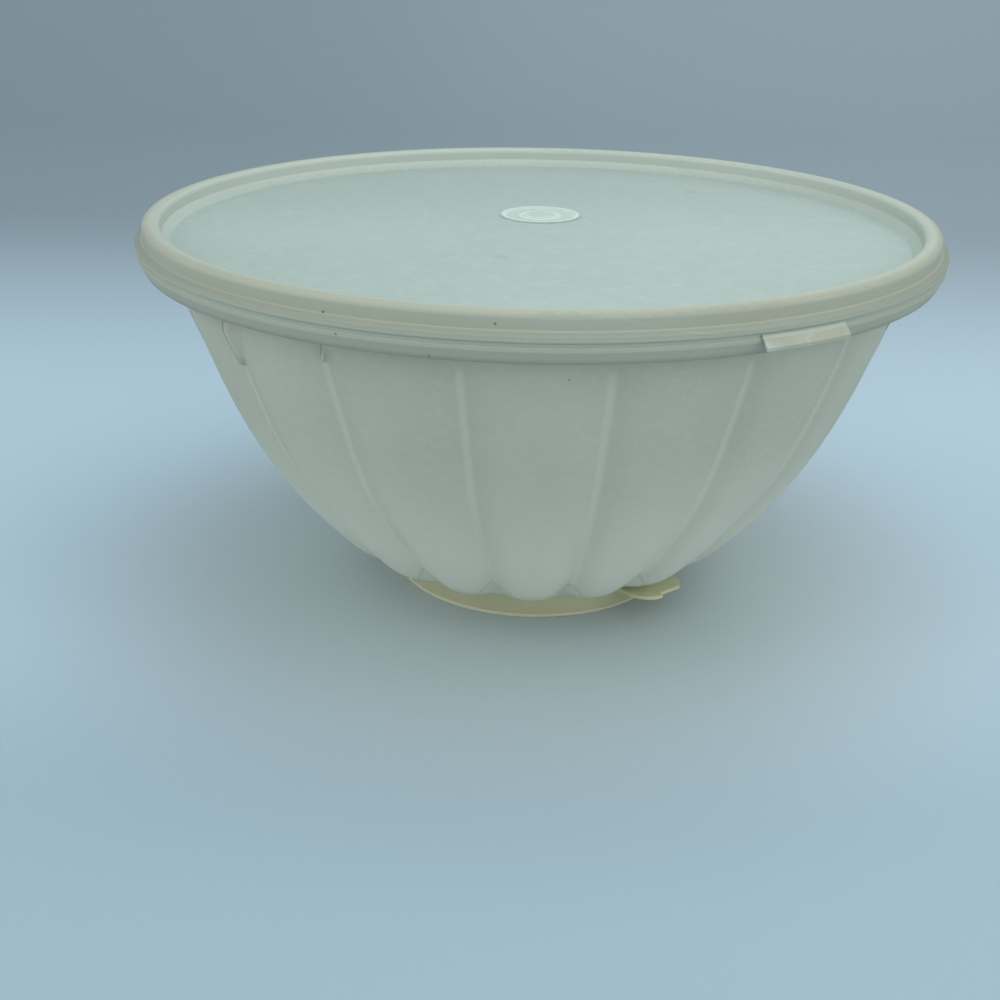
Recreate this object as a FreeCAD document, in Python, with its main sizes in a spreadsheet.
import FreeCAD, Part
import math
import os

import Sketcher
from FreeCAD import Placement, Rotation, Vector

# A fluted ring jelly mould with its large lid on top and a small base seal under it.
# Millimetres. The origin is on the floor under the mould's axis, and +Z is up.
# The middle of one flute looks along -Y, and angles around the axis are counted
# from there towards +X.

# Sizes that belong to the whole piece: name, value, meaning.
SIZES = [
    ("flute_count", 18, "rounded lobes around the mould"),
    ("wall", 1.5, "moulded wall of the mould, the tube and the shelf"),
    ("fit_gap", 0.3, "clearance round the rim and round the neck"),
    ("foot_height", 10.0, "floor to the underside of the lobes"),
    ("neck_low_radius", 41.0, "outside of the neck at its mouth"),
    ("neck_high_radius", 43.5, "outside of the neck where it meets the lobes"),
    ("web_low_radius", 48.8, "webs between the lobe ends, lower edge"),
    ("web_high_radius", 60.3, "webs between the lobe ends, where they run out"),
    ("web_rise", 9.4, "height of the webs"),
    ("tube_low_radius", 30.0, "outside of the centre tube at the floor of the mould"),
    ("tube_high_radius", 17.0, "outside of the centre tube at its top"),
    ("tube_drop", 1.0, "top of the centre tube below the shelf"),
    ("band_high_drop", 3.6, "shelf down to where that band has reached its full radius"),
    ("shelf_width", 5.4, "shelf beyond the lobes' crests, to the outside of the lip"),
    ("lip_wall", 1.6, "thickness of the upright lip"),
    ("lip_rise", 6.3, "upright lip above the shelf"),
    ("lip_round", 0.5, "rounding of the lip's edges"),
    ("shelf_round", 1.2, "hollow corner under the shelf"),
    ("lid_wall", 1.3, "wall of the lid"),
    ("panel_recess", 5.8, "crown of the lid down to its flat panel"),
    ("crown_lean", 0.6, "how far the crown's inner side leans"),
    ("panel_slope_width", 2.4, "sloped foot of the crown, across"),
    ("panel_slope_rise", 2.2, "sloped foot of the crown, up"),
    ("crown_round", 1.7, "rounding of the crown's edges"),
    ("bead_round", 0.5, "rounding of the upper bead and the skirt's edge"),
    ("ridge_round", 0.3, "rounding of the lower bead"),
    ("gate_ring_radius", 12.4, "moulded ring on the panel"),
    ("gate_ring_width", 1.4, "width of that ring"),
    ("gate_ring_height", 0.4, "how far the ring stands out of the panel"),
    ("gate_ring_back", 19.0, "ring behind the middle of the panel"),
    ("gate_disc_radius", 5.2, "moulded disc inside that ring"),
    ("ledge_drop", 4.1, "crown down to the sloped ledge over the upper bead"),
    ("ledge_fall", 1.2, "how far that ledge falls"),
    ("upper_bead_out", 2.1, "upper bead beyond the crown"),
    ("upper_bead_height", 1.2, "height of the upper bead"),
    ("bead_groove_out", 1.2, "groove between the beads, beyond the crown"),
    ("bead_groove_height", 0.5, "height of that groove's floor"),
    ("bead_groove_flank", 0.4, "height of each sloped side of that groove"),
    ("lower_bead_out", 1.7, "lower bead beyond the crown"),
    ("lower_bead_height", 0.9, "height of the lower bead"),
    ("skirt_lip_out", 0.2, "lower edge of the skirt beyond the crown"),
    ("skirt_drop", 11.9, "crown down to the lower edge of the skirt"),
    ("lid_tab_angle", 32.3, "middle of the lid's tab around the axis"),
    ("lid_tab_span", 12.4, "width of the lid's tab, around the axis"),
    ("lid_tab_root", 5.1, "crown down to the tab where it leaves the skirt's wall"),
    ("lid_tab_tip", 9.5, "crown down to the tab's outer edge"),
    ("lid_tab_out", 4.0, "lid's tab beyond the crown"),
    ("lid_tab_thickness", 0.8, "thickness of the lid's tab, straight down"),
    ("seal_floor", 1.5, "floor of the base seal"),
    ("seal_wall", 1.2, "side wall of the base seal"),
    ("seal_height", 9.4, "height of the base seal"),
    ("seal_bead_out", 0.4, "bead round the bottom of the base seal"),
    ("seal_bead_height", 1.1, "height of that bead"),
    ("seal_tab_angle", 45.5, "middle of the seal's tab around the axis"),
    ("seal_tab_width", 18.6, "width of the seal's tab"),
    ("seal_tab_reach", 12.6, "seal's tab beyond the top of the seal"),
    ("seal_tab_thickness", 1.0, "thickness of the seal's tab"),
    ("seal_tab_corner", 7.0, "corner radius of the seal's tab"),
    ("seal_tab_drop", 1.0, "top of the seal down to its tab"),
    ("seal_round", 0.3, "rounding of the seal's edges"),
    ("chip_width", 10.2, "torn corner of the seal's tab, across"),
    ("chip_depth", 1.5, "torn corner of the seal's tab, inwards"),
    ("chip_tooth", 0.5, "tooth left standing in the torn edge"),
    ("tear_width", 0.9, "tear beside the torn corner"),
    ("tear_depth", 2.2, "how far the tear runs in behind the torn corner"),
    ("tear_offset", -3.0, "tear from the middle of the tab"),
]

# The fluted wall, level by level: rise above the lobes' underside, radius of the
# lobes' crests and radius of the grooves between them.
FLUTE_LEVELS = [
    (0.0, 50.0, 44.2),
    (1.2, 53.8, 47.6),
    (4.5, 59.2, 52.6),
    (10.0, 64.8, 60.6),
    (20.0, 73.6, 69.8),
    (36.0, 85.0, 82.1),
    (53.0, 93.8, 91.4),
    (72.0, 101.2, 98.7),
    (86.0, 105.3, 102.9),
    (94.9, 107.0, 104.5),
]

# The level where the grooves start to fill up towards the plain band under the rim.
BAND_LEVEL = len(FLUTE_LEVELS) - 2

# Two places closer than this are the same place.
SAME_PLACE = 1e-3


class Size:
    """A number together with the formula of sheet cells that gives it."""

    def __init__(self, value, formula):
        self.value = value
        self.formula = formula

    def __add__(self, other):
        other = as_size(other)
        return Size(self.value + other.value, f"({self.formula} + {other.formula})")

    def __sub__(self, other):
        other = as_size(other)
        return Size(self.value - other.value, f"({self.formula} - {other.formula})")

    def __mul__(self, other):
        other = as_size(other)
        return Size(self.value * other.value, f"({self.formula} * {other.formula})")

    def __truediv__(self, other):
        other = as_size(other)
        return Size(self.value / other.value, f"({self.formula} / {other.formula})")


def as_size(number):
    """Plain numbers take part in formulas too."""
    if isinstance(number, Size):
        return number
    return Size(number, str(number))


def sine(angle):
    return Size(math.sin(math.radians(angle.value)), f"sin({angle.formula})")


def cosine(angle):
    return Size(math.cos(math.radians(angle.value)), f"cos({angle.formula})")


class Sheet:
    """The driving dimensions, kept in a spreadsheet and read by name."""

    def __init__(self, document):
        self.sheet = document.addObject("Spreadsheet::Sheet", "sizes")
        self.values = {}
        for name, value, meaning in SIZES:
            self.add(name, value, meaning)
        for level, (rise, crest, groove) in enumerate(FLUTE_LEVELS):
            self.add(f"rise_{level}", rise, f"flute level {level} above the foot")
            self.add(f"crest_{level}", crest, f"crest radius at level {level}")
            self.add(f"groove_{level}", groove, f"groove radius at level {level}")
        document.recompute()

    def add(self, name, value, meaning):
        row = len(self.values) + 1
        self.sheet.set(f"A{row}", meaning)
        self.sheet.set(f"B{row}", str(value))
        self.sheet.setAlias(f"B{row}", name)
        self.values[name] = value

    def __getattr__(self, name):
        return Size(self.values[name], f"sizes.{name}")


def new_body(document, label):
    body = document.addObject("PartDesign::Body", label)
    body.Label = label
    return body


def origin_feature(body, role):
    return next(item for item in body.Origin.OriginFeatures if item.Role == role)


def new_sketch(body, name, plane, height=None, turn=None, pivot=Vector(0, 0, 1)):
    """A sketch on one of the body's own planes, lifted and turned if asked. The pivot
    is the sketch's own direction that it turns about."""
    sketch = body.newObject("Sketcher::SketchObject", name)
    sketch.AttachmentSupport = (origin_feature(body, plane), [""])
    sketch.MapMode = "FlatFace"
    angle = 0.0 if turn is None else turn.value
    lift = 0.0 if height is None else height.value
    sketch.AttachmentOffset = Placement(Vector(0, 0, lift), Rotation(pivot, angle))
    if height is not None:
        sketch.setExpression("AttachmentOffset.Base.z", height.formula)
    if turn is not None:
        sketch.setExpression("AttachmentOffset.Rotation.Angle", turn.formula)
    return sketch


def bind(sketch, kind, *arguments, size):
    """Add a dimension and tie it to its cells."""
    index = sketch.addConstraint(Sketcher.Constraint(kind, *arguments, size.value))
    sketch.setExpression(f"Constraints[{index}]", size.formula)


def pin_point(sketch, geometry, position, across, up):
    """Fix a point of the sketch by its two distances from the origin."""
    if across.value == 0.0:
        sketch.addConstraint(Sketcher.Constraint("PointOnObject", geometry, position, -2))
    else:
        bind(sketch, "DistanceX", -1, 1, geometry, position, size=across)
    if up.value == 0.0:
        sketch.addConstraint(Sketcher.Constraint("PointOnObject", geometry, position, -1))
    else:
        bind(sketch, "DistanceY", -1, 1, geometry, position, size=up)


def outline(sketch, corners):
    """A closed outline of straight lines. Each corner is (across, up)."""
    corners = [(as_size(across), as_size(up)) for across, up in corners]
    count = len(corners)
    for index in range(count):
        start = Vector(corners[index][0].value, corners[index][1].value, 0)
        following = corners[(index + 1) % count]
        end = Vector(following[0].value, following[1].value, 0)
        sketch.addGeometry(Part.LineSegment(start, end), False)
    for index, (across, up) in enumerate(corners):
        sketch.addConstraint(
            Sketcher.Constraint("Coincident", (index - 1) % count, 2, index, 1))
        pin_point(sketch, index, 1, across, up)


def revolve(body, name, corners, cut=False):
    """Turn an outline of (radius, height) corners round the axis."""
    sketch = new_sketch(body, f"{name}_outline", "XZ_Plane")
    outline(sketch, corners)
    kind = "PartDesign::Groove" if cut else "PartDesign::Revolution"
    feature = body.newObject(kind, name)
    feature.Profile = sketch
    feature.ReferenceAxis = (sketch, ["V_Axis"])
    feature.Angle = 360
    sketch.Visibility = False
    return feature


def revolve_part(body, name, corners, middle, span):
    """Turn an outline of (radius, height) corners through part of a turn. The angle in
    the middle is counted round the axis from the front."""
    sketch = new_sketch(
        body, f"{name}_outline", "XZ_Plane", turn=middle - 90, pivot=Vector(0, 1, 0))
    outline(sketch, corners)
    feature = body.newObject("PartDesign::Revolution", name)
    feature.Profile = sketch
    feature.ReferenceAxis = (sketch, ["V_Axis"])
    feature.Angle = span.value
    feature.setExpression("Angle", span.formula)
    feature.Midplane = True
    sketch.Visibility = False
    return feature


def flute_section(body, name, sheet, height, crest, groove):
    """One level of the fluted wall: a ring of equal arcs that meet in the grooves."""
    sketch = new_sketch(body, name, "XY_Plane", height=height)
    count = sheet.values["flute_count"]
    half_pitch = Size(180.0, "180") / sheet.flute_count
    half_chord = groove * sine(half_pitch)
    bulge = crest - groove * cosine(half_pitch)
    radius = (half_chord * half_chord + bulge * bulge) / (bulge * 2)
    ends = []
    for index in range(count):
        # The first lobe's crest looks along -Y, so its first groove lies half a pitch before.
        angle = half_pitch * (2 * index - 1) - 90
        ends.append((groove * cosine(angle), groove * sine(angle)))
    for index in range(count):
        start = Vector(ends[index][0].value, ends[index][1].value, 0)
        following = ends[(index + 1) % count]
        end = Vector(following[0].value, following[1].value, 0)
        turn = math.radians(2 * half_pitch.value * index - 90)
        middle = Vector(crest.value * math.cos(turn), crest.value * math.sin(turn), 0)
        sketch.addGeometry(Part.Arc(start, middle, end), False)
    for index in range(count):
        sketch.addConstraint(
            Sketcher.Constraint("Coincident", (index - 1) % count, 2, index, 1))
        bind(sketch, "DistanceX", -1, 1, index, 1, size=ends[index][0])
        bind(sketch, "DistanceY", -1, 1, index, 1, size=ends[index][1])
    bind(sketch, "Radius", 0, size=radius)
    for index in range(1, count):
        sketch.addConstraint(Sketcher.Constraint("Equal", 0, index))
    sketch.Visibility = False
    return sketch


def flute_loft(body, name, sheet, inwards, cut=False):
    """The fluted wall's outer or inner surface. The inner one is the outer one
    moved towards the axis and up by the wall."""
    sections = []
    for level in range(len(FLUTE_LEVELS)):
        rise = getattr(sheet, f"rise_{level}")
        crest = getattr(sheet, f"crest_{level}") - inwards
        groove = getattr(sheet, f"groove_{level}") - inwards
        height = sheet.foot_height + rise + inwards
        sections.append(
            flute_section(body, f"{name}_level_{level}", sheet, height, crest, groove))
    kind = "PartDesign::SubtractiveLoft" if cut else "PartDesign::AdditiveLoft"
    feature = body.newObject(kind, name)
    feature.Profile = sections[0]
    feature.Sections = sections[1:]
    feature.Ruled = False
    return feature


def ring_edges(feature, places):
    """Names of the round edges at the given (radius, height) places."""
    names = []
    for radius, height in places:
        for index, edge in enumerate(feature.Shape.Edges, start=1):
            if not isinstance(edge.Curve, Part.Circle):
                continue
            centre = edge.Curve.Center
            same_ring = abs(edge.Curve.Radius - radius.value) < SAME_PLACE
            same_height = abs(centre.z - height.value) < SAME_PLACE
            if same_ring and same_height and math.hypot(centre.x, centre.y) < SAME_PLACE:
                names.append(f"Edge{index}")
    if not names:
        raise ValueError(f"no round edge on {feature.Label}")
    return names


def round_rings(body, document, name, base, places, size):
    """Round off ring edges of the body."""
    document.recompute()
    fillet = body.newObject("PartDesign::Fillet", name)
    fillet.Base = (base, ring_edges(base, places))
    fillet.Radius = size.value
    fillet.setExpression("Radius", size.formula)
    return fillet


def pad_down(body, name, sketch, thickness, cut=False):
    """Fill, or cut, a sketch downwards through a thickness."""
    feature = body.newObject("PartDesign::Pocket" if cut else "PartDesign::Pad", name)
    feature.Profile = sketch
    feature.Length = thickness.value
    feature.setExpression("Length", thickness.formula)
    feature.Reversed = not cut
    sketch.Visibility = False
    return feature


def tab_outline(sketch, half_width, inner, outer):
    """A tab that points along the sketch's own -Y, between two arcs round the axis."""
    half = half_width.value

    def on_ring(radius, across):
        return Vector(across, -math.sqrt(radius.value ** 2 - across ** 2), 0)

    far_left, far_right = on_ring(outer, -half), on_ring(outer, half)
    near_left, near_right = on_ring(inner, -half), on_ring(inner, half)
    sketch.addGeometry(Part.Arc(far_left, Vector(0, -outer.value, 0), far_right), False)
    sketch.addGeometry(Part.LineSegment(far_right, near_right), False)
    sketch.addGeometry(Part.Arc(near_left, Vector(0, -inner.value, 0), near_right), False)
    sketch.addGeometry(Part.LineSegment(near_left, far_left), False)
    for first, first_end, second, second_end in [(0, 2, 1, 1), (1, 2, 2, 2), (2, 1, 3, 1), (3, 2, 0, 1)]:
        sketch.addConstraint(
            Sketcher.Constraint("Coincident", first, first_end, second, second_end))
    for arc, radius in [(0, outer), (2, inner)]:
        sketch.addConstraint(Sketcher.Constraint("Coincident", arc, 3, -1, 1))
        bind(sketch, "Radius", arc, size=radius)
        bind(sketch, "DistanceX", arc, 1, -1, 1, size=half_width)
        bind(sketch, "DistanceX", -1, 1, arc, 2, size=half_width)


def round_tab(body, document, name, base, outer, height, size):
    """Round the two outer corners of a tab: upright edges on its outer arc."""
    document.recompute()
    names = []
    for index, edge in enumerate(base.Shape.Edges, start=1):
        ends = [vertex.Point for vertex in edge.Vertexes]
        if len(ends) != 2 or not isinstance(edge.Curve, Part.Line):
            continue
        upright = math.hypot(ends[0].x - ends[1].x, ends[0].y - ends[1].y) < SAME_PLACE
        on_arc = abs(math.hypot(ends[0].x, ends[0].y) - outer.value) < SAME_PLACE
        at_height = abs(max(ends[0].z, ends[1].z) - height.value) < SAME_PLACE
        if upright and on_arc and at_height:
            names.append(f"Edge{index}")
    if len(names) != 2:
        raise ValueError(f"{name} found {len(names)} corners")
    fillet = body.newObject("PartDesign::Fillet", name)
    fillet.Base = (base, names)
    fillet.Radius = size.value
    fillet.setExpression("Radius", size.formula)
    return fillet


class Heights:
    """Heights and radii that the pieces share."""

    def __init__(self, sheet):
        top = len(FLUTE_LEVELS) - 1
        self.shelf_top = sheet.foot_height + getattr(sheet, f"rise_{top}")
        self.shelf_low = self.shelf_top - sheet.wall
        self.shelf_inner = getattr(sheet, f"crest_{top}")
        self.rim_radius = self.shelf_inner + sheet.shelf_width
        self.rim_top = self.shelf_top + sheet.lip_rise
        self.lip_inner = self.rim_radius - sheet.lip_wall
        self.crown_top = self.rim_top + sheet.lid_wall
        self.mould_floor = sheet.foot_height + sheet.wall
        self.tube_top = self.shelf_top - sheet.tube_drop


def neck_radius(sheet, height):
    """Outside of the neck at a height: it flares from its mouth to the lobes."""
    flare = sheet.neck_high_radius - sheet.neck_low_radius
    return sheet.neck_low_radius + flare * (height - sheet.seal_floor) / (
        sheet.foot_height - sheet.seal_floor)


def make_mould(document, sheet, shared):
    """The mould: fluted wall, rim, neck and centre tube, moulded in one piece."""
    body = new_body(document, "mould")
    flute_loft(body, "flutes", sheet, inwards=as_size(0.0))
    band_low = sheet.foot_height + getattr(sheet, f"rise_{BAND_LEVEL}")
    band_low_radius = getattr(sheet, f"groove_{BAND_LEVEL}")
    band_high = shared.shelf_top - sheet.band_high_drop
    revolve(body, "rim", [
        (0, band_low),
        (band_low_radius, band_low),
        (shared.shelf_inner, band_high),
        (shared.shelf_inner, shared.shelf_low),
        (shared.rim_radius, shared.shelf_low),
        (shared.rim_radius, shared.rim_top),
        (shared.lip_inner, shared.rim_top),
        (shared.lip_inner, shared.shelf_top),
        (0, shared.shelf_top),
    ])
    revolve(body, "foot", [
        (0, sheet.seal_floor),
        (sheet.neck_low_radius, sheet.seal_floor),
        (sheet.neck_high_radius, sheet.foot_height),
        (sheet.web_low_radius, sheet.foot_height),
        (sheet.web_high_radius, sheet.foot_height + sheet.web_rise),
        (0, sheet.foot_height + sheet.web_rise),
    ])
    flute_loft(body, "cavity", sheet, inwards=sheet.wall, cut=True)
    inner_radius = shared.shelf_inner - sheet.wall
    revolve(body, "band_cavity", [
        (0, band_low + sheet.wall),
        (band_low_radius - sheet.wall, band_low + sheet.wall),
        (inner_radius, band_high + sheet.wall),
        (inner_radius, shared.rim_top),
        (0, shared.rim_top),
    ], cut=True)
    revolve(body, "tube", [
        (0, sheet.foot_height),
        (sheet.tube_low_radius + sheet.wall, sheet.foot_height),
        (sheet.tube_low_radius, shared.mould_floor),
        (sheet.tube_high_radius, shared.tube_top),
        (0, shared.tube_top),
    ])
    revolve(body, "tube_bore", [
        (0, sheet.foot_height),
        (sheet.tube_low_radius - sheet.wall, sheet.foot_height),
        (sheet.tube_high_radius - sheet.wall, shared.tube_top),
        (0, shared.tube_top),
    ], cut=True)
    base = revolve(body, "neck_bore", [
        (0, sheet.seal_floor),
        (sheet.neck_low_radius - sheet.wall, sheet.seal_floor),
        (sheet.neck_high_radius - sheet.wall, sheet.foot_height),
        (0, sheet.foot_height),
    ], cut=True)
    base = round_rings(body, document, "shelf_corner", base, [
        (shared.shelf_inner, shared.shelf_low),
    ], sheet.shelf_round)
    base = round_rings(body, document, "lip_edges", base, [
        (shared.rim_radius, shared.shelf_low),
        (shared.rim_radius, shared.rim_top),
        (shared.lip_inner, shared.rim_top),
        (sheet.tube_high_radius, shared.tube_top),
    ], sheet.lip_round)
    body.Tip = base
    return body


def raise_circles(body, name, sheet, height, radii):
    """Raise a disc, or the ring between two circles, from the panel of the lid."""
    sketch = new_sketch(body, f"{name}_outline", "XY_Plane", height=height)
    centre = Vector(0, sheet.gate_ring_back.value, 0)
    for index, radius in enumerate(radii):
        sketch.addGeometry(Part.Circle(centre, Vector(0, 0, 1), radius.value), False)
        pin_point(sketch, index, 3, as_size(0.0), sheet.gate_ring_back)
        bind(sketch, "Radius", index, size=radius)
    pad = body.newObject("PartDesign::Pad", name)
    pad.Profile = sketch
    pad.Length = sheet.gate_ring_height.value
    pad.setExpression("Length", sheet.gate_ring_height.formula)
    sketch.Visibility = False


def make_lid(document, sheet, shared):
    """The large lid: flat panel, hollow crown over the lip, beaded skirt and tab."""
    body = new_body(document, "lid")
    top = shared.crown_top
    skirt_inner = shared.rim_radius + sheet.fit_gap
    crown_outer = skirt_inner + sheet.lid_wall
    plug_outer = shared.lip_inner - sheet.fit_gap
    crown_inner = plug_outer - sheet.lid_wall
    slope_radius = crown_inner - sheet.crown_lean
    panel_radius = slope_radius - sheet.panel_slope_width
    panel_top = top - sheet.panel_recess
    slope_top = panel_top + sheet.panel_slope_rise
    ledge = top - sheet.ledge_drop
    upper = ledge - sheet.ledge_fall
    upper_low = upper - sheet.upper_bead_height
    groove_high = upper_low - sheet.bead_groove_flank
    groove_low = groove_high - sheet.bead_groove_height
    lower = groove_low - sheet.bead_groove_flank
    lower_low = lower - sheet.lower_bead_height
    skirt_low = top - sheet.skirt_drop
    upper_radius = crown_outer + sheet.upper_bead_out
    groove_floor = crown_outer + sheet.bead_groove_out
    lower_radius = crown_outer + sheet.lower_bead_out
    lip_radius = crown_outer + sheet.skirt_lip_out
    shell = revolve(body, "lid_shell", [
        (0, panel_top - sheet.lid_wall),
        (0, panel_top),
        (panel_radius, panel_top),
        (slope_radius, slope_top),
        (crown_inner, top),
        (crown_outer, top),
        (crown_outer, ledge),
        (upper_radius, upper),
        (upper_radius, upper_low),
        (groove_floor, groove_high),
        (groove_floor, groove_low),
        (lower_radius, lower),
        (lower_radius, lower_low),
        (lip_radius, skirt_low),
        (lip_radius - sheet.lid_wall, skirt_low),
        (skirt_inner, lower_low),
        (skirt_inner, top - sheet.lid_wall),
        (plug_outer, top - sheet.lid_wall),
        (slope_radius + sheet.lid_wall, slope_top - sheet.lid_wall),
        (panel_radius, panel_top - sheet.lid_wall),
    ])
    crown = round_rings(body, document, "crown_edges", shell, [
        (crown_inner, top),
        (crown_outer, top),
    ], sheet.crown_round)
    beads = round_rings(body, document, "bead_edges", crown, [
        (upper_radius, upper),
        (upper_radius, upper_low),
        (lip_radius, skirt_low),
    ], sheet.bead_round)
    round_rings(body, document, "ridge_edges", beads, [
        (lower_radius, lower),
        (lower_radius, lower_low),
    ], sheet.ridge_round)

    ring_inner = sheet.gate_ring_radius - sheet.gate_ring_width
    raise_circles(body, "gate_ring", sheet, panel_top, [sheet.gate_ring_radius, ring_inner])
    raise_circles(body, "gate_disc", sheet, panel_top, [sheet.gate_disc_radius])

    # The tab leaves the skirt under the upper bead and slopes down and outwards.
    root = top - sheet.lid_tab_root
    tip = top - sheet.lid_tab_tip
    tab_outer = crown_outer + sheet.lid_tab_out
    tab = revolve_part(body, "lid_tab", [
        (crown_outer, root),
        (tab_outer, tip),
        (tab_outer, tip - sheet.lid_tab_thickness),
        (crown_outer, root - sheet.lid_tab_thickness),
    ], sheet.lid_tab_angle, sheet.lid_tab_span)
    body.Tip = tab
    return body


def make_base_seal(document, sheet, shared):
    """The small seal that closes the neck and that the mould stands on."""
    body = new_body(document, "base_seal")
    bead_radius = sheet.neck_low_radius + sheet.fit_gap + sheet.seal_wall
    inner_high = neck_radius(sheet, sheet.seal_height) + sheet.fit_gap
    inner_low = sheet.neck_low_radius + sheet.fit_gap
    cup = revolve(body, "seal_cup", [
        (0, 0),
        (bead_radius + sheet.seal_bead_out, 0),
        (bead_radius + sheet.seal_bead_out, sheet.seal_bead_height),
        (bead_radius, sheet.seal_bead_height),
        (inner_high + sheet.seal_wall, sheet.seal_height),
        (inner_high, sheet.seal_height),
        (inner_low, sheet.seal_floor),
        (0, sheet.seal_floor),
    ])
    cup = round_rings(body, document, "seal_edges", cup, [
        (bead_radius + sheet.seal_bead_out, as_size(0.0)),
        (bead_radius + sheet.seal_bead_out, sheet.seal_bead_height),
        (inner_high + sheet.seal_wall, sheet.seal_height),
    ], sheet.seal_round)

    tab_top = sheet.seal_height - sheet.seal_tab_drop
    rim_outer = inner_high + sheet.seal_wall
    tab_outer = rim_outer + sheet.seal_tab_reach
    tab_sketch = new_sketch(
        body, "seal_tab_outline", "XY_Plane", height=tab_top, turn=sheet.seal_tab_angle)
    tab_outline(tab_sketch, sheet.seal_tab_width / 2, rim_outer - sheet.seal_wall / 2, tab_outer)
    tab = pad_down(body, "seal_tab", tab_sketch, sheet.seal_tab_thickness)
    tab = round_tab(
        body, document, "seal_tab_corners", tab, tab_outer, tab_top, sheet.seal_tab_corner)

    # The front corner of this tab is torn: a jagged step with a tear beside it.
    torn = new_sketch(
        body, "torn_corner_outline", "XY_Plane", height=tab_top, turn=sheet.seal_tab_angle)
    edge = as_size(0.0) - tab_outer
    step = edge + sheet.chip_depth
    chip_middle = sheet.tear_offset + (sheet.tear_width + sheet.chip_width) / 2
    outline(torn, [
        (sheet.tear_offset, edge - sheet.chip_depth),
        (sheet.tear_offset + sheet.chip_width, edge - sheet.chip_depth),
        (sheet.tear_offset + sheet.chip_width, edge + sheet.chip_tooth),
        (chip_middle, step - sheet.chip_tooth),
        (sheet.tear_offset + sheet.tear_width, step),
        (sheet.tear_offset, step + sheet.tear_depth),
    ])
    body.Tip = pad_down(body, "torn_corner", torn, sheet.seal_tab_thickness, cut=True)
    return body


def check(document):
    """Stop if anything failed to build."""
    for item in document.Objects:
        if "Invalid" in item.State or "Error" in item.State:
            raise RuntimeError(f"{item.Label} failed: {item.State}")


def export(bodies):
    """Write each piece to its own file, once its shape is known to be sound."""
    os.makedirs("parts", exist_ok=True)
    for body in bodies:
        shape = body.Shape
        if shape.isNull() or not shape.isValid():
            raise RuntimeError(f"{body.Label} has no sound shape")
        shape.exportStep(os.path.join("parts", f"{body.Label}.step"))
        box = shape.BoundBox
        print(body.Label, "solids", len(shape.Solids), "volume", round(shape.Volume),
              "x", round(box.XMin, 2), round(box.XMax, 2), "z", round(box.ZMin, 2), round(box.ZMax, 2))


def main():
    document = FreeCAD.newDocument("jelly_mould")
    sheet = Sheet(document)
    shared = Heights(sheet)
    bodies = [
        make_mould(document, sheet, shared),
        make_lid(document, sheet, shared),
        make_base_seal(document, sheet, shared),
    ]
    document.recompute()
    check(document)
    export(bodies)


main()
